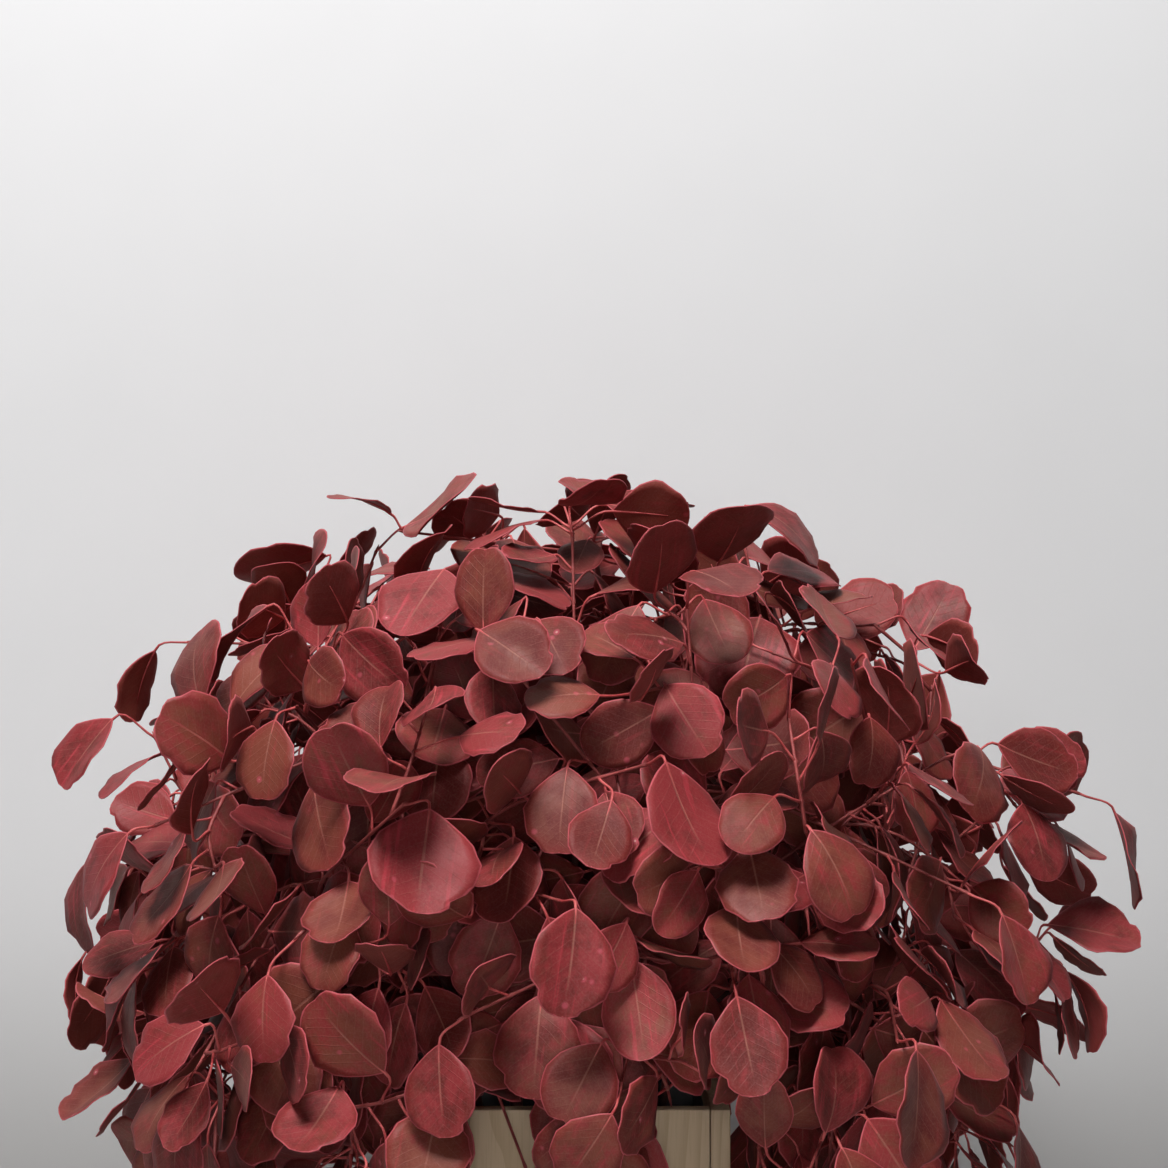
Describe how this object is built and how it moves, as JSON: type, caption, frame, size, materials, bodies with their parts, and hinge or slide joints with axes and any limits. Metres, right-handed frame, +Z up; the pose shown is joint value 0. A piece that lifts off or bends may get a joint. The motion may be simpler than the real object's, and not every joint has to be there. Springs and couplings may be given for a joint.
{
  "type": "dyed eucalyptus bunch in a wooden box",
  "caption": "Full bunch of red-dyed, round-leaved eucalyptus standing in water in a square box of upright pale boards with a plastic liner.",
  "frame": {"origin": "middle of the box's underside", "axes": "+Z up; the front faces -Y, and +X is to the right of someone who looks at the front"},
  "size_m": [0.7015, 0.6041, 0.6747],
  "materials": {
    "board": "pale planed softwood, matt",
    "liner": "black plastic, slightly rough",
    "water": "still water",
    "foliage": "dyed dark red leaves, dull satin"
  },
  "bodies": {
    "root": {"board_front_1": "board", "board_front_2": "board", "board_front_3": "board", "board_front_4": "board", "board_right_1": "board", "board_right_2": "board", "board_right_3": "board", "board_right_4": "board", "board_back_1": "board", "board_back_2": "board", "board_back_3": "board", "board_back_4": "board", "board_left_1": "board", "board_left_2": "board", "board_left_3": "board", "board_left_4": "board", "base_board": "board", "liner": "liner", "water": "water", "leafy_stem_01": "foliage", "leafy_stem_02": "foliage", "leafy_stem_03": "foliage", "leafy_stem_04": "foliage", "leafy_stem_05": "foliage", "leafy_stem_06": "foliage", "leafy_stem_07": "foliage", "leafy_stem_08": "foliage", "leafy_stem_09": "foliage", "leafy_stem_10": "foliage", "leafy_stem_11": "foliage", "leafy_stem_12": "foliage", "leafy_stem_13": "foliage", "leafy_stem_14": "foliage"}
  },
  "joints": []
}
